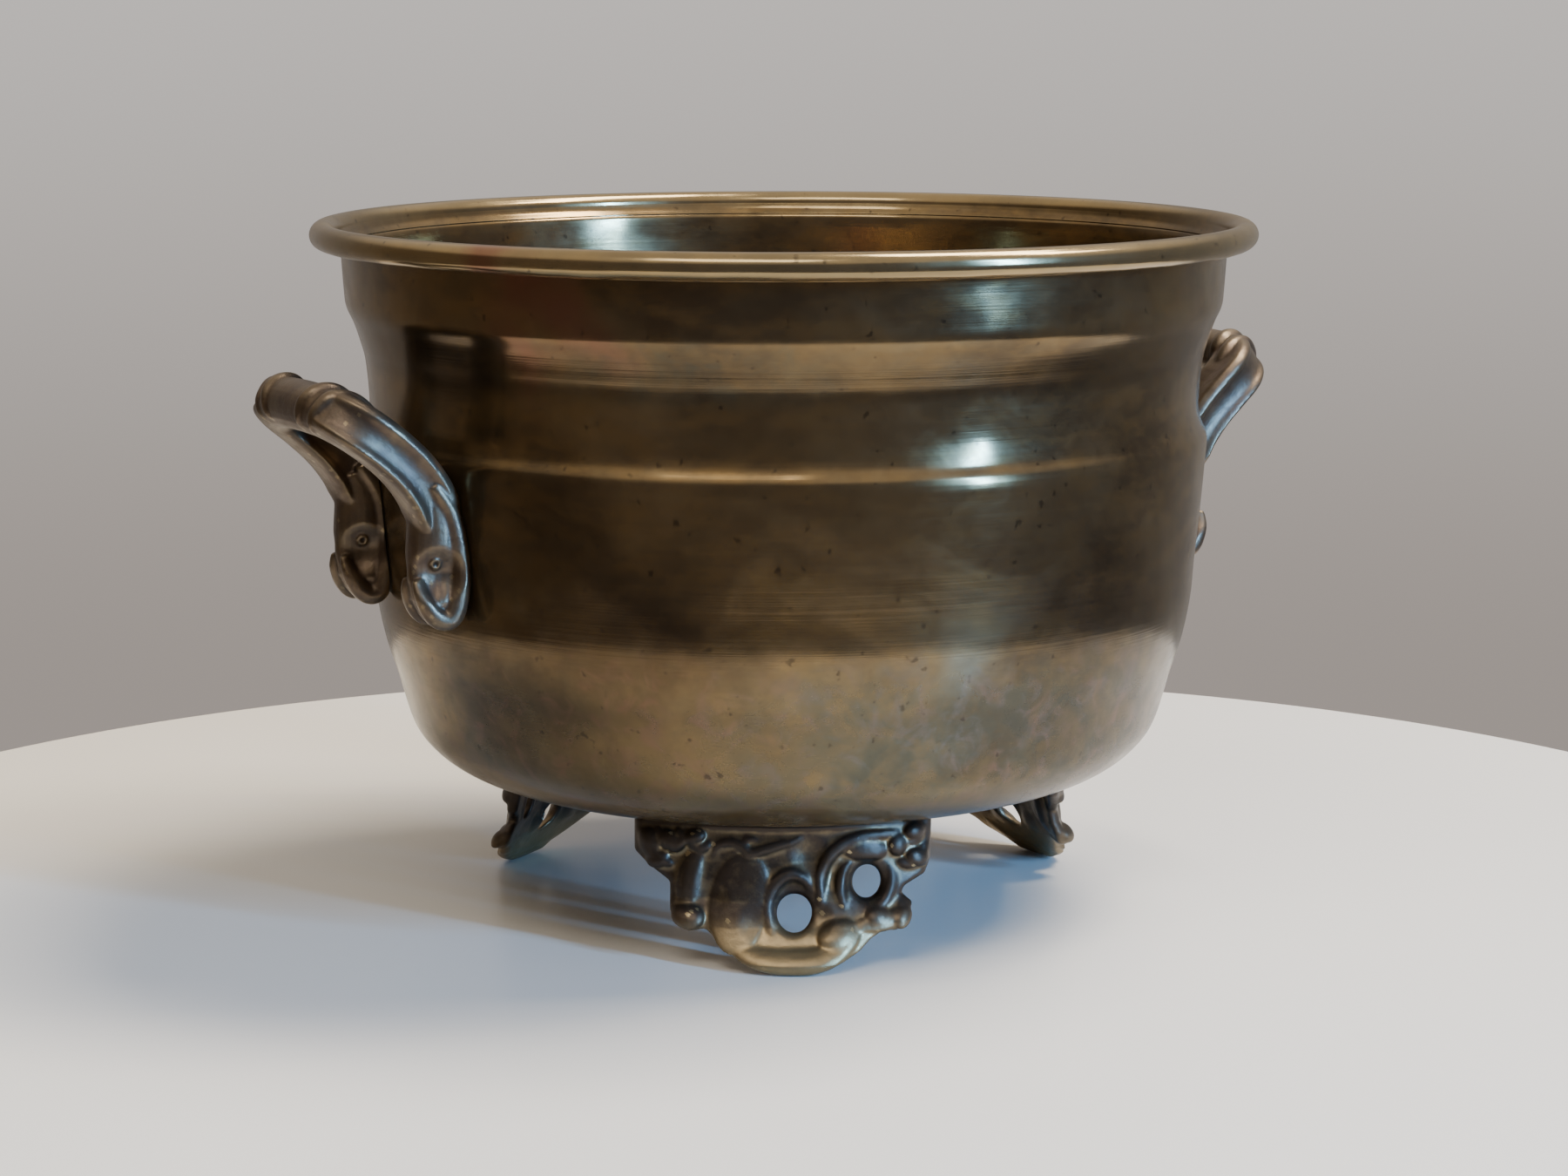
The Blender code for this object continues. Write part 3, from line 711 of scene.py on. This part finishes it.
def screw_brass(colors):
    """Turned brass gone dull, with fine lathe lines."""
    material, tree, shader = new_material("dull screw brass")
    tarnish = place_group(tree, "tarnish", tarnish_group, Size=260.0, Speck_size=1500.0)
    wear = place_group(tree, "edge wear", wear_group, Reach=0.08, Breakup=500.0)
    tone = times(tree, tarnish.outputs["Tone"], 0.55)
    color = blend_color(tree, tone, colors.brown, colors.gold)
    color = blend_color(tree, times(tree, wear.outputs["Worn"], 0.6), color, colors.gold)
    color = blend_color(tree, times(tree, tarnish.outputs["Specks"], 0.6), color, colors.soot_and_shade)
    tree.links.new(color, shader.inputs["Base Color"])
    rough = plus(tree, 0.32, times(tree, tarnish.outputs["Smears"], 0.2))
    tree.links.new(rough, shader.inputs["Roughness"])
    shader.inputs["Metallic"].default_value = 1.0
    marks = place_group(tree, "spin marks", spin_marks_group, Lines=2600.0, Drift=200.0)
    lines = add_node(tree, "ShaderNodeBump", {"Height": marks.outputs["Marks"], "Strength": 0.25,
                                              "Distance": 0.0002})
    tree.links.new(lines.outputs["Normal"], shader.inputs["Normal"])
    return material


def drawn_iron(colors):
    """Dark iron wire with a little rust."""
    material, tree, shader = new_material("drawn iron wire")
    tarnish = place_group(tree, "tarnish", tarnish_group, Size=180.0, Speck_size=900.0)
    color = blend_color(tree, times(tree, tarnish.outputs["Bloom"], 0.6), colors.iron, colors.red)
    tree.links.new(color, shader.inputs["Base Color"])
    rough = plus(tree, 0.45, times(tree, tarnish.outputs["Smears"], 0.25))
    tree.links.new(rough, shader.inputs["Roughness"])
    shader.inputs["Metallic"].default_value = 0.9
    skin = add_node(tree, "ShaderNodeBump", {"Height": tarnish.outputs["Smears"], "Strength": 0.3,
                                             "Distance": 0.0003})
    tree.links.new(skin.outputs["Normal"], shader.inputs["Normal"])
    return material


def painted_top(colors):
    """Cream table top with a faint unevenness."""
    material, tree, shader = new_material("cream table paint")
    place = own_place(tree)
    tint = cloud(tree, place, 7.0, 4.0)
    color = blend_color(tree, times(tree, tint, 0.25), colors.table, colors.table_shade)
    tree.links.new(color, shader.inputs["Base Color"])
    shader.inputs["Roughness"].default_value = 0.28
    skin = add_node(tree, "ShaderNodeBump", {"Height": cloud(tree, place, 900.0, 2.0), "Strength": 0.05,
                                             "Distance": 0.0003})
    tree.links.new(skin.outputs["Normal"], shader.inputs["Normal"])
    return material


def finish_named(name, build):
    """One finish, made the first time a piece asks for it."""
    return bpy.data.materials.get(name) or build(bpy.context.scene.pot_colors)


# --- bowl ------------------------------------------------------------------------------------------


def bowl_outline():
    """Outer side of the sheet: from the roll's free edge round the wire and down to the middle."""
    roll = (RIM_RADIUS - WIRE_CLEARANCE - SHEET, POT_HEIGHT - WIRE_CLEARANCE - SHEET)
    points = []
    for step in range(ROLL_STEPS + 1):
        angle = math.radians(ROLL_FREE_EDGE + (180.0 - ROLL_FREE_EDGE) * step / ROLL_STEPS)
        across, up = WIRE_CLEARANCE * math.cos(angle), WIRE_CLEARANCE * math.sin(angle)
        points.append((roll[0] + across, roll[1] + up))
    end, neck = points[-1], WALL[0]
    flare = [end]
    for down, inward in FLARE:
        flare.append((end[0] + (neck[0] - end[0]) * inward, end[1] + (neck[1] - end[1]) * down))
    wall = smooth_curve(flare + list(WALL), 6)
    return points[:-1] + [(max(p[0], 0.0), p[1]) for p in wall]


def sheet_dent(east, north, radius, height):
    """How far the sheet wanders at a place, as a share of the deepest dent; fades out in the middle."""
    soft = noise.noise(Vector((east * 2.2, north * 2.2, height * 0.035)))
    return soft * min(1.0, radius / FLAT_MIDDLE)


def roll_wave(east, north, turn, point):
    """How far the roll's free edge wanders, most of all at the fold; fades out along the outline."""
    free = max(0.0, 1.0 - point / ROLL_FREE_POINTS)
    fold = math.exp(-((math.degrees(turn) - ROLL_FOLD) / ROLL_FOLD_WIDTH) ** 2)
    return free * (noise.noise(Vector((east * 9.0, north * 9.0, 3.0))) * (1.0 + 2.0 * fold))


def spin_bowl(sizes):
    """Turns the sheet's profile, with soft dents and a slightly wandering rolled edge."""
    outline = bowl_outline()
    steps = sizes.turn_steps
    form = bmesh.new()
    columns = []
    for k in range(steps):
        turn = 2 * math.pi * k / steps
        east, north = math.cos(turn), math.sin(turn)
        column = []
        for i, (r, z) in enumerate(outline[:-1]):
            dent = sizes.dents / MM * sheet_dent(east, north, r, z)
            lift = sizes.roll_waves / MM * roll_wave(east, north, turn, i)
            reach = r + dent + lift * 0.4
            column.append(form.verts.new((reach * east, reach * north, z + lift)))
        columns.append(column)
    middle = form.verts.new((0.0, 0.0, outline[-1][1]))
    for k in range(steps):
        left, right = columns[k], columns[(k + 1) % steps]
        for i in range(len(left) - 1):
            form.faces.new((left[i], left[i + 1], right[i + 1], right[i]))
        form.faces.new((left[-1], middle, right[-1]))
    mesh = bpy.data.meshes.new("bowl_sheet")
    form.to_mesh(mesh)
    form.free()
    mesh.shade_smooth()
    bowl = new_object("bowl_sheet", mesh)
    sheet = bowl.modifiers.new("sheet", "SOLIDIFY")
    sheet.thickness = SHEET * MM
    sheet.offset = -1.0
    sheet.use_even_offset = True
    return bowl


# --- handles ---------------------------------------------------------------------------------------


def handle_arch(form):
    """The bar and both arms as one band: lipped on the arms, round on the bar and at the arms' ends."""
    side = list(ARM_PATH)
    path = smooth_curve(side + [(out, -along, up) for out, along, up in reversed(side)], 6)
    band = smooth_curve(ARM_SECTION, 2, closed=True)
    sections = []
    for point in path:
        on_bar = (BAR_ROUND_FROM - abs(point.y)) / BAR_ROUND_OVER
        at_end = (ARM_ROUND_BELOW - point.z) / ARM_ROUND_OVER
        share = min(1.0, max(0.0, on_bar, at_end))
        sections.append([tuple(place.lerp(place.normalized() * GRIP_RADIUS, share)) for place in band])
    add_tube(form, path, sections, side=(0.0, 1.0, 0.0))
    return path


def handle_ribs(form, path):
    """Slanting knuckle ribs where the bar meets each arm."""
    bar = [point for point in path if point.z > BAR_ABOVE]
    for end in (1, -1):
        for place in RIB_PLACES:
            rib = []
            for step in range(RIB_STEPS + 1):
                swing = math.radians(RIB_START + RIB_SWING * step / RIB_STEPS)
                along = end * (place + RIB_DRIFT * (step / RIB_STEPS - 0.5))
                near = min(bar, key=lambda point: abs(point.y - along))
                rib.append((near.x + RIB_OFFSET * math.cos(swing), along,
                            near.z + RIB_OFFSET * math.sin(swing)))
            add_bead(form, rib, RIB_RADIUS, 0.45)


def handle_scroll(form, place):
    """One scroll end: a rounded body, a strap down the wall side that curls under, and an eye each side."""
    line = [(out, place, up) for up, out, _, _ in SCROLL_SECTIONS]
    rings = [oval(0.0, 0.0, width, depth, 24) for _, _, depth, width in SCROLL_SECTIONS]
    add_tube(form, line, rings, side=(0.0, 1.0, 0.0))
    eye_out, eye_up = SCROLL_EYE
    last = len(SCROLL_STRAP) - 1
    for face in (1, -1):
        strap = [(out, place + face * (5.4 - 2.2 * (i / last) ** 3), up)
                 for i, (out, up) in enumerate(SCROLL_STRAP)]
        add_bead(form, strap, STRAP_RADIUS, 0.55)
        add_lobe(form, (eye_out, place + face * EYE_SIDE, eye_up), EYE_RADII)


def press(mesh, centre, direction, reach, depth):
    """Presses a smooth hollow into the side of a casting that faces the given direction."""
    centre, direction = Vector(centre), Vector(direction).normalized()
    for vert in mesh.vertices:
        offset = vert.co - centre
        deep = offset.dot(direction)
        far = (offset - direction * deep).length / reach
        if far < 1.0 and PRESS_BEHIND < deep < PRESS_AHEAD:
            vert.co -= direction * depth * (1.0 - far * far) ** 2


def fit_to_wall(mesh):
    """Presses the back of a handle onto the outside of the bowl."""
    for vert in mesh.vertices:
        x, y, z = vert.co
        radius = math.hypot(x, y)
        least = wall_radius(z) + GAP
        if radius < least:
            vert.co.x = x * least / radius
            vert.co.y = y * least / radius


def cast_handle(sizes):
    """One handle in its place on the +X side: fused, its scrolls hollowed, its back fitted to the wall."""
    form = bmesh.new()
    path = handle_arch(form)
    handle_ribs(form, path)
    for place in (SCROLL_PLACE, -SCROLL_PLACE):
        handle_scroll(form, place)
    mesh = fuse("handle_casting", form, sizes.cast_grain / MM, HANDLE_SOFTENING)
    eye_out, eye_up = SCROLL_EYE
    for place in (SCROLL_PLACE, -SCROLL_PLACE):
        for face in (1, -1):
            for out, up, reach, depth, slant in SCROLL_HOLLOWS:
                spot = (eye_out + out, place + face * HOLLOW_SIDE, eye_up + up)
                press(mesh, spot, (slant, face, 0.0), reach, depth)
    fit_to_wall(mesh)
    return mesh


# --- feet ------------------------------------------------------------------------------------------

FOOT_RIDGES = (
    # thickness, how proud, points across and up
    (2.2, 0.4, ((-2.4, 8.0), (-4.0, 12.0), (-3.6, 17.0), (-1.4, 20.9), (1.9, 22.4), (5.0, 20.9),
                (6.9, 17.2))),
    (2.0, 0.7, ((8.6, 14.4), (8.8, 20.0), (10.0, 25.0), (13.4, 28.7), (18.6, 30.7), (24.2, 31.0),
                (28.6, 31.4))),
    (1.6, 0.9, ((14.7, 14.4), (13.7, 18.0), (13.9, 22.0), (16.3, 25.4))),
    (1.9, 0.2, ((25.2, 24.6), (26.2, 20.4), (24.9, 16.2), (21.6, 13.8), (17.0, 13.4))),
    (1.8, 0.5, ((-17.8, 25.0), (-16.2, 28.6), (-12.8, 29.7), (-9.8, 28.6), (-8.4, 27.2), (-5.0, 28.1),
                (-1.0, 29.3), (2.8, 30.3), (4.8, 31.8))),
    (1.1, 0.8, ((-13.8, 26.6), (-11.0, 28.2), (-8.6, 30.6), (-5.4, 30.0))),
    (3.2, 0.3, ((-12.4, 6.2), (-9.0, 4.4), (-4.0, 3.2), (2.0, 2.9), (7.6, 3.2), (12.6, 5.0), (16.4, 8.0),
                (17.8, 11.4))),
    (2.4, 0.4, ((15.0, 9.0), (19.6, 10.4), (24.6, 10.8), (28.0, 12.6), (28.2, 15.2))),
    (3.8, -0.9, ((-19.0, 30.0), (-22.0, 24.0), (-23.4, 17.6), (-23.0, 11.6))),
    (2.2, 0.9, ((-34.2, 31.6), (-33.4, 28.0), (-30.6, 25.0), (-26.8, 23.6))),
    (1.9, 1.3, ((-30.8, 32.2), (-29.4, 29.2), (-26.6, 28.2), (-24.6, 30.2), (-26.2, 32.2))),
    (1.8, 0.9, ((-24.0, 32.6), (-22.4, 29.6), (-19.8, 28.2), (-17.6, 29.6))),
    (1.7, 0.9, ((28.6, 28.2), (31.6, 29.2), (33.6, 31.6))),
    (2.0, 0.8, ((27.4, 24.4), (30.4, 23.8), (33.2, 25.2), (34.2, 28.2))),
    (1.0, 0.8, ((-35.2, 33.4), (-18.0, 33.4), (0.0, 33.4), (18.0, 33.4), (34.8, 33.4))),
)

FOOT_LOBES = (
    # across, up, half width, half height, how thick, slant in degrees
    (12.8, 8.6, 5.0, 3.2, 3.4, -16),
    (22.6, 12.0, 3.2, 2.4, 2.7, 10),
    (-23.2, 12.0, 4.2, 3.0, 4.0, 0),
    (-27.6, 29.4, 3.4, 2.6, 2.8, 30),
    (-32.4, 28.6, 2.9, 3.4, 2.6, -15),
    (-21.8, 30.6, 3.2, 2.0, 2.9, -20),
    (-30.6, 24.6, 3.1, 2.2, 2.6, -30),
    (31.6, 31.2, 2.7, 2.1, 3.0, 0),
    (32.2, 25.0, 3.1, 2.4, 3.0, 25),
    (27.6, 28.2, 2.6, 2.8, 2.4, 0),
    (28.6, 11.4, 2.4, 2.8, 2.8, 20),
    (-10.6, 15.8, 7.4, 12.0, 2.1, 12),
    (19.4, 27.8, 6.0, 3.0, 1.9, 8),
)

FOOT_HOLLOWS = (
    # across, up, reach, depth
    (2.6, 14.6, 7.4, 2.0),
    (20.0, 20.0, 6.6, 1.7),
    (8.0, 12.0, 4.4, 1.1),
    (11.4, 21.6, 4.2, 0.9),
    (5.8, 26.8, 5.2, 1.0),
    (-17.0, 17.0, 4.6, 0.9),
    (-7.0, 11.4, 5.0, 0.8),
)
RIDGE_SINK = 1.2
LOBE_DEPTH = 0.78
PLATE_DEPTH = 3.2
PLATE_ROUNDING = 1.2
TAB_DEPTH = 3.2
TAB_ROUNDING = 0.3
TAB_SETBACK = 1.0
TAB_OUTLINE = ((0.0, 28.0), (-12.0, 26.5), (-17.0, 20.0), (-17.5, 0.0), (-17.0, -20.0), (-12.0, -26.5),
               (0.0, -28.0))


def foot_place(across, proud, up):
    """From the flat foot to the pot: the plate follows a circle and leans out to the toe."""
    radius = between(min(max(up, 0.0), FOOT_TOP), FOOT_LEAN) + proud
    across = max(-radius, min(radius, across))
    return Vector((math.sqrt(radius * radius - across * across), across, min(max(up, 0.0), FOOT_TOP)))


def cast_foot(sizes):
    """The flat relief is built up from ridges and lobes on a pierced plate, fused, then bent."""
    form = bmesh.new()
    face = Matrix(((1, 0, 0, 0), (0, 0, -1, -PLATE_DEPTH / 2), (0, 1, 0, 0), (0, 0, 0, 1)))
    add_plate(form, [FOOT_OUTLINE, oval(*SCROLL_HOLE), oval(*LEAF_HOLE)], PLATE_DEPTH, PLATE_ROUNDING, face)
    for thickness, proud, points in FOOT_RIDGES:
        add_bead(form, [(across, proud - RIDGE_SINK, up) for across, up in points], thickness)
    for across, up, half_width, half_height, thick, slant in FOOT_LOBES:
        add_lobe(form, (across, 0.0, up), (half_width, thick * LOBE_DEPTH, half_height), slant)
    tab = Matrix(((0, 1, 0, 0), (1, 0, 0, -TAB_SETBACK), (0, 0, 1, FOOT_TOP - TAB_DEPTH / 2), (0, 0, 0, 1)))
    add_plate(form, [TAB_OUTLINE], TAB_DEPTH, TAB_ROUNDING, tab)
    mesh = fuse("foot_casting", form, sizes.cast_grain / MM, FOOT_SOFTENING)
    for across, up, reach, depth in FOOT_HOLLOWS:
        press(mesh, (across, 0.0, up), (0.0, 1.0, 0.0), reach, depth)
    for vert in mesh.vertices:
        across, proud, up = vert.co
        vert.co = foot_place(across, proud, up)
    return mesh


# --- operators -------------------------------------------------------------------------------------


class POT_OT_spin_bowl(bpy.types.Operator):
    """Spin the bowl with its rolled rim"""

    bl_idname = "pot.spin_bowl"
    bl_label = "Spin the bowl"

    def execute(self, context):
        bowl = spin_bowl(context.scene.pot_sizes)
        keep(bowl, "bowl", finish_named("aged sheet brass", sheet_brass))
        return {"FINISHED"}


class POT_OT_cast_handles(bpy.types.Operator):
    """Cast both handles from one pattern"""

    bl_idname = "pot.cast_handles"
    bl_label = "Cast the handles"

    def execute(self, context):
        pattern = cast_handle(context.scene.pot_sizes)
        for number, turn in ((1, 0.0), (2, math.pi)):
            mesh = pattern.copy()
            mesh.transform(Matrix.Rotation(turn, 4, "Z"))
            handle = new_object(f"handle_casting_{number}", mesh)
            keep(handle, f"handle_{number}", finish_named("aged cast brass", cast_brass))
        return {"FINISHED"}


class POT_OT_cast_feet(bpy.types.Operator):
    """Cast the three feet from one pattern"""

    bl_idname = "pot.cast_feet"
    bl_label = "Cast the feet"

    def execute(self, context):
        pattern = cast_foot(context.scene.pot_sizes)
        for index in range(FOOT_COUNT):
            mesh = pattern.copy()
            mesh.transform(Matrix.Rotation(2 * math.pi * index / FOOT_COUNT, 4, "Z"))
            foot = new_object(f"foot_casting_{index + 1}", mesh)
            keep(foot, f"foot_{index + 1}", finish_named("aged cast brass", cast_brass))
        return {"FINISHED"}


class POT_OT_finish_fixings(bpy.types.Operator):
    """Give the screws, the washers and the rim wire their finishes"""

    bl_idname = "pot.finish_fixings"
    bl_label = "Finish the fixings"

    def execute(self, context):
        for name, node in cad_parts.items():
            if "screw" in name or "washer" in name:
                node.data.materials.clear()
                node.data.materials.append(finish_named("dull screw brass", screw_brass))
        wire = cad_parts["rim_wire"]
        wire.data.materials.clear()
        wire.data.materials.append(finish_named("drawn iron wire", drawn_iron))
        return {"FINISHED"}


def add_area_light(name, place, size, power, color, dull_share):
    """An area light aimed at the middle of the pot."""
    data = bpy.data.lights.new(name, "AREA")
    data.shape = "RECTANGLE"
    data.size, data.size_y = size
    data.energy = power
    data.color = color
    data.diffuse_factor = dull_share
    light = bpy.data.objects.new(name, data)
    bpy.context.scene.collection.objects.link(light)
    light.location = place
    light.rotation_euler = (Vector(LIGHTS_AIM) - Vector(place)).to_track_quat("-Z", "Y").to_euler()


def room_light():
    """The room: a soft ceiling, dim and brown on the camera's side; the camera sees a backdrop that is
    darker low down, which is painted shade.
    """
    world = bpy.data.worlds.new("room")
    bpy.context.scene.world = world
    world.use_nodes = True
    tree = world.node_tree
    back = tree.nodes["Background"]
    direction = add_node(tree, "ShaderNodeTexCoord").outputs["Generated"]
    away = Vector((-math.cos(math.radians(CAMERA_TURN)), -math.sin(math.radians(CAMERA_TURN)), 0.0))
    facing = add_node(tree, "ShaderNodeVectorMath", {0: direction, 1: away}, operation="DOT_PRODUCT")
    height = add_node(tree, "ShaderNodeSeparateXYZ", {0: direction}).outputs["Z"]
    behind = spread(tree, facing.outputs["Value"], 0.15, 0.75)
    room = blend_color(tree, behind, ROOM_FRONT, ROOM_BEHIND)
    ceiling = spread(tree, height, 0.30, 0.62)
    room = blend_color(tree, ceiling, room, ROOM_CEILING)
    # Painted shade: the backdrop seen by the camera darkens towards the bottom.
    paint = blend_color(tree, spread(tree, height, -0.20, 0.06), BACKDROP_SHADED_LOW, BACKDROP_LIT_HIGH)
    path = add_node(tree, "ShaderNodeLightPath").outputs
    tree.links.new(blend_color(tree, path["Is Camera Ray"], room, paint), back.inputs["Color"])
    tree.links.new(spread(tree, path["Is Diffuse Ray"], 0.0, 1.0, 1.0, ROOM_GLOW), back.inputs["Strength"])


def lay_table():
    """A round painted top just under the toes, its edge rounded."""
    middle = Matrix.Translation((0.0, 0.0, -(TABLE_THICKNESS / 2 + TABLE_GAP)))
    form = bmesh.new()
    bmesh.ops.create_cone(form, cap_ends=True, segments=180, radius1=TABLE_RADIUS,
                          radius2=TABLE_RADIUS, depth=TABLE_THICKNESS, matrix=middle)
    mesh = bpy.data.meshes.new("table_top")
    form.to_mesh(mesh)
    form.free()
    table = bpy.data.objects.new("table_top", mesh)
    bpy.context.scene.collection.objects.link(table)
    edge = table.modifiers.new("edge", "BEVEL")
    edge.width = TABLE_EDGE
    edge.segments = 4
    mesh.materials.append(finish_named("cream table paint", painted_top))
    return table


def place_camera():
    """The camera in front of the pot, a little above it, looking along its turn and pitch."""
    camera_data = bpy.data.cameras.new("camera")
    camera_data.lens = CAMERA_LENS
    camera_data.sensor_width = SENSOR
    camera = bpy.data.objects.new("camera", camera_data)
    bpy.context.scene.collection.objects.link(camera)
    camera.location = CAMERA_PLACE
    level, pitch = math.radians(CAMERA_TURN), math.radians(CAMERA_PITCH)
    look = Vector((-math.cos(level) * math.cos(pitch), -math.sin(level) * math.cos(pitch),
                   -math.sin(pitch)))
    camera.rotation_euler = look.to_track_quat("-Z", "Y").to_euler()
    bpy.context.scene.camera = camera


class POT_OT_set_stage(bpy.types.Operator):
    """Lay the table top, hang the lights and place the camera"""

    bl_idname = "pot.set_stage"
    bl_label = "Set the stage"

    def execute(self, context):
        table = lay_table()
        room_light()
        for name, spot, size, power, color, dull_share in LIGHTS:
            add_area_light(name, round_the_pot(*spot), size, power, color, dull_share)
        place_camera()
        return {"FINISHED"}


class POT_PT_steps(bpy.types.Panel):
    """Lists the steps in the order they run"""

    bl_label = "Planter pot"
    bl_idname = "POT_PT_steps"
    bl_space_type = "VIEW_3D"
    bl_region_type = "UI"
    bl_category = "Planter"

    def draw(self, context):
        for step in STEPS:
            self.layout.operator(step.bl_idname)
        for group in (context.scene.pot_sizes, context.scene.pot_colors):
            for key in group.__annotations__:
                self.layout.prop(group, key)


STEPS = (POT_OT_spin_bowl, POT_OT_cast_handles, POT_OT_cast_feet, POT_OT_finish_fixings, POT_OT_set_stage)
CLASSES = (PotSizes, PotColors, *STEPS, POT_PT_steps)


def register():
    for item in CLASSES:
        bpy.utils.register_class(item)
    bpy.types.Scene.pot_sizes = PointerProperty(type=PotSizes)
    bpy.types.Scene.pot_colors = PointerProperty(type=PotColors)


def unregister():
    del bpy.types.Scene.pot_colors
    del bpy.types.Scene.pot_sizes
    for item in reversed(CLASSES):
        bpy.utils.unregister_class(item)


def main():
    register()
    bpy.ops.pot.spin_bowl()
    bpy.ops.pot.cast_handles()
    bpy.ops.pot.cast_feet()
    bpy.ops.pot.finish_fixings()
    bpy.ops.pot.set_stage()


if __name__ == "__main__":
    main()
